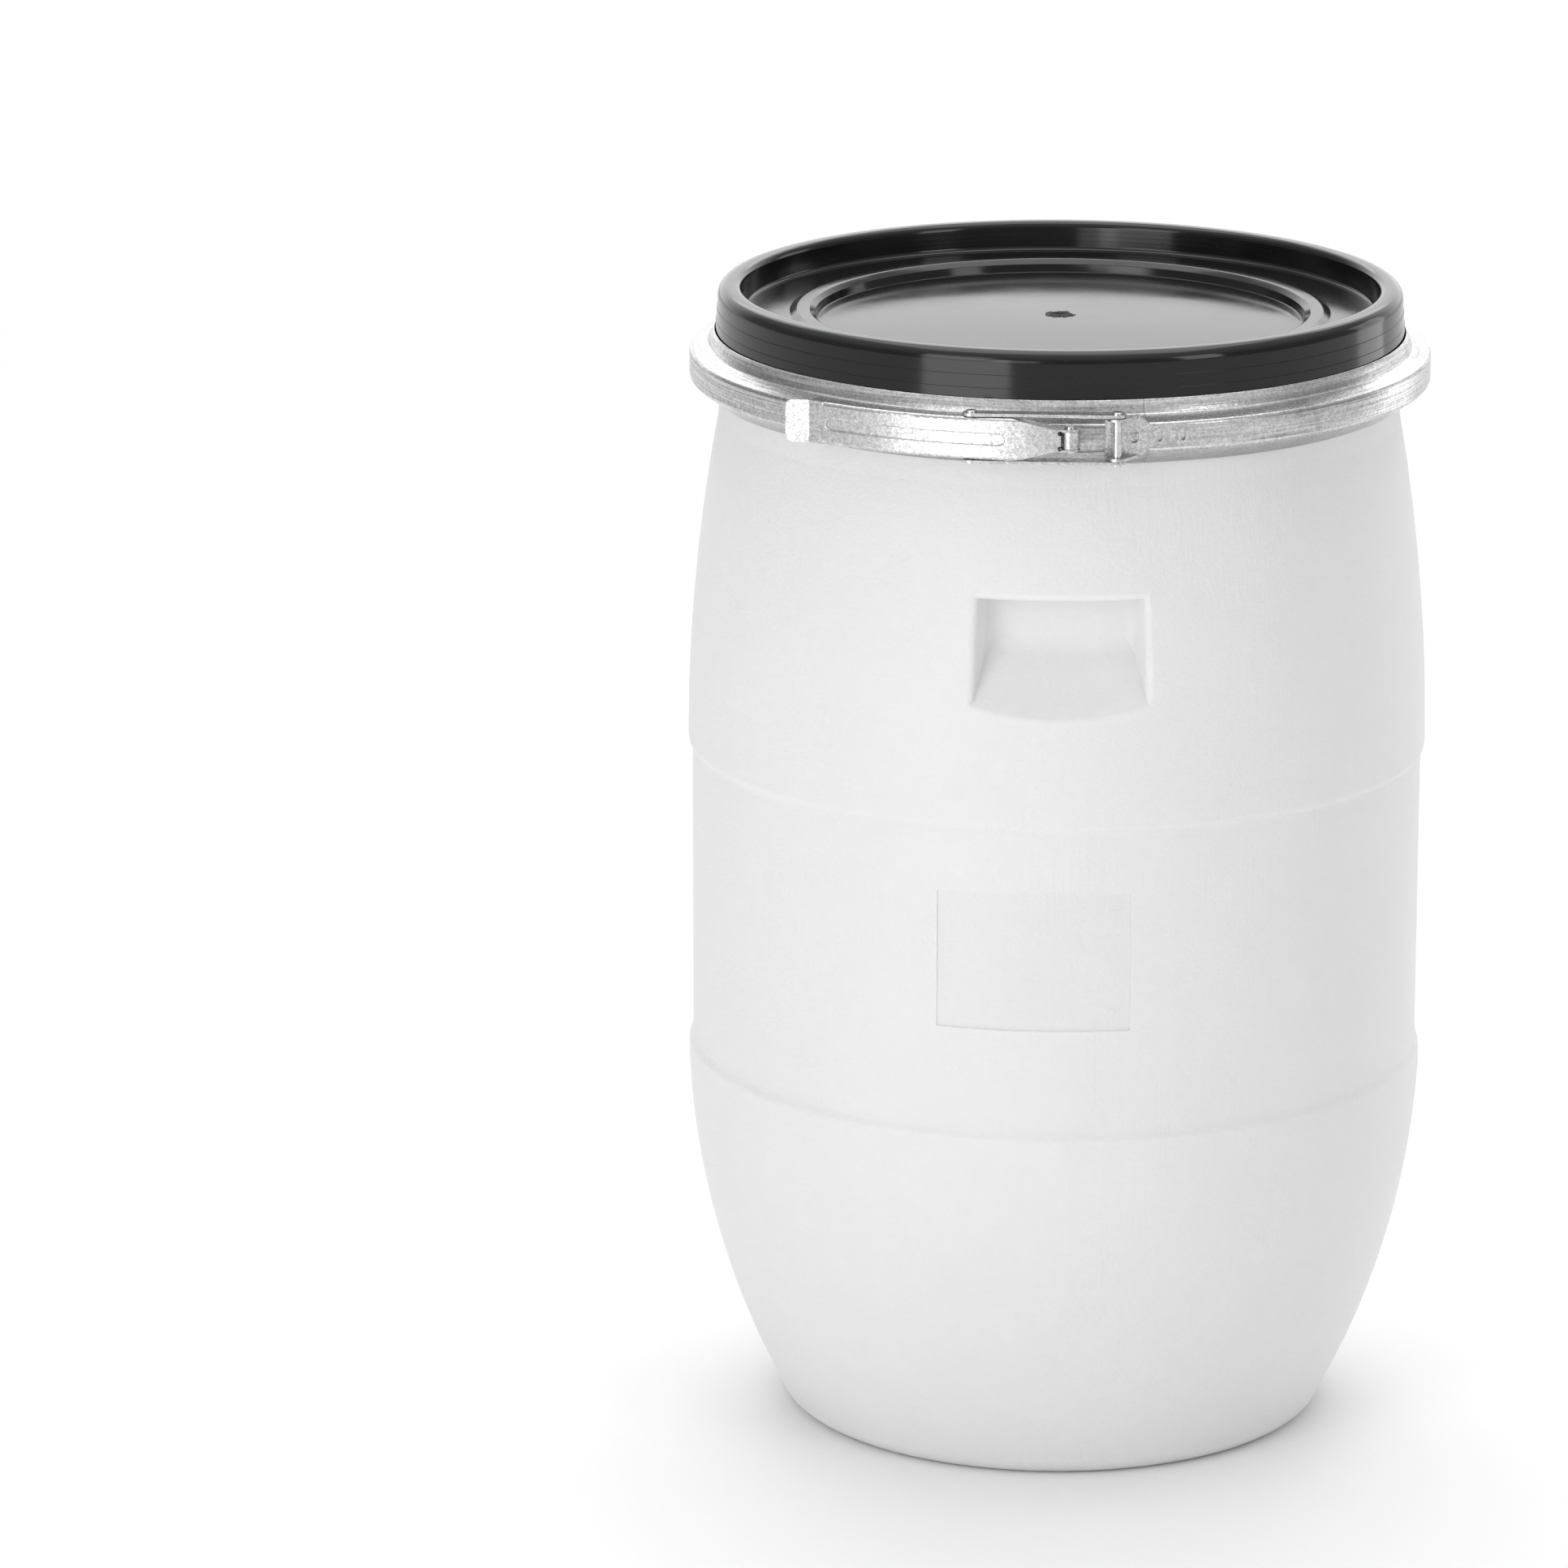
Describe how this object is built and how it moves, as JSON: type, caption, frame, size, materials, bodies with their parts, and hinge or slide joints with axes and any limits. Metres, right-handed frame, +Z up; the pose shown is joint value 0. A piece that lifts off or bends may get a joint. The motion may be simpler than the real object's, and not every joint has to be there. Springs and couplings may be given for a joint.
{
  "type": "plastic open head drum",
  "caption": "Round plastic open head drum with a barrel body, grip pockets, a recessed lid and a lever-lock steel closing ring.",
  "frame": {"origin": "centre of the base, on the surface that the drum stands on", "axes": "+Z up along the drum's axis, -Y to the front where the lever lock is, +X to the right as seen from the front"},
  "size_m": [0.3999, 0.41, 0.625],
  "materials": {
    "drum_plastic": "satin natural white polyethylene with a fine grain",
    "lid_plastic": "glossy black, slightly scuffed",
    "gasket_rubber": "matte foamed rubber",
    "band_steel": "galvanised sheet with rolling streaks",
    "pressed_steel": "zinc-plated pressing",
    "rivet_steel": "bright zinc-plated rivet"
  },
  "bodies": {
    "drum": {"drum_body": "drum_plastic"},
    "lid": {"lid": "lid_plastic", "lid_gasket": "gasket_rubber"},
    "ring": {"clamp_ring_left": "band_steel", "lever_bracket": "pressed_steel", "lever_bracket_rivets": "rivet_steel"},
    "lever": {"lever": "pressed_steel", "lever_pin": "rivet_steel"},
    "link": {"link_upper": "pressed_steel", "link_lower": "pressed_steel", "lever_link_rivets": "rivet_steel", "link_pin_heads": "rivet_steel"},
    "ring_end": {"clamp_ring_right": "band_steel", "link_bracket": "pressed_steel", "link_pin": "rivet_steel"}
  },
  "joints": [
    {"name": "ring_lift", "type": "slide", "parent": "drum", "child": "ring", "axis": [0, 0, 1], "range_m": [0, 0.25], "deforming": ["clamp_ring_left", "clamp_ring_right"]},
    {"name": "lid_lift", "type": "slide", "parent": "drum", "child": "lid", "axis": [0, 0, 1], "range_m": [0, 0.1125]},
    {"name": "lever_swing", "type": "hinge", "parent": "ring", "child": "lever", "pos_m": [0.006, -0.20481, 0.5843], "axis": [0, 0, 1], "range_deg": [0, 150]},
    {"name": "link_swing", "type": "hinge", "parent": "lever", "child": "link", "pos_m": [-0.045, -0.20051, 0.5843], "axis": [0, 0, 1], "range_deg": [-112, 0]},
    {"name": "ring_open", "type": "hinge", "parent": "ring", "child": "ring_end", "pos_m": [0, 0.1993, 0.5843], "axis": [0, 0, 1], "range_deg": [0, 11.5]}
  ],
  "couplings": [
    {"joint": "lid_lift", "follows": "ring_lift", "ratio": 0.45},
    {"joint": "link_swing", "follows": "lever_swing", "ratio": -0.74359},
    {"joint": "ring_open", "follows": "lever_swing", "ratio": 0.075501}
  ]
}
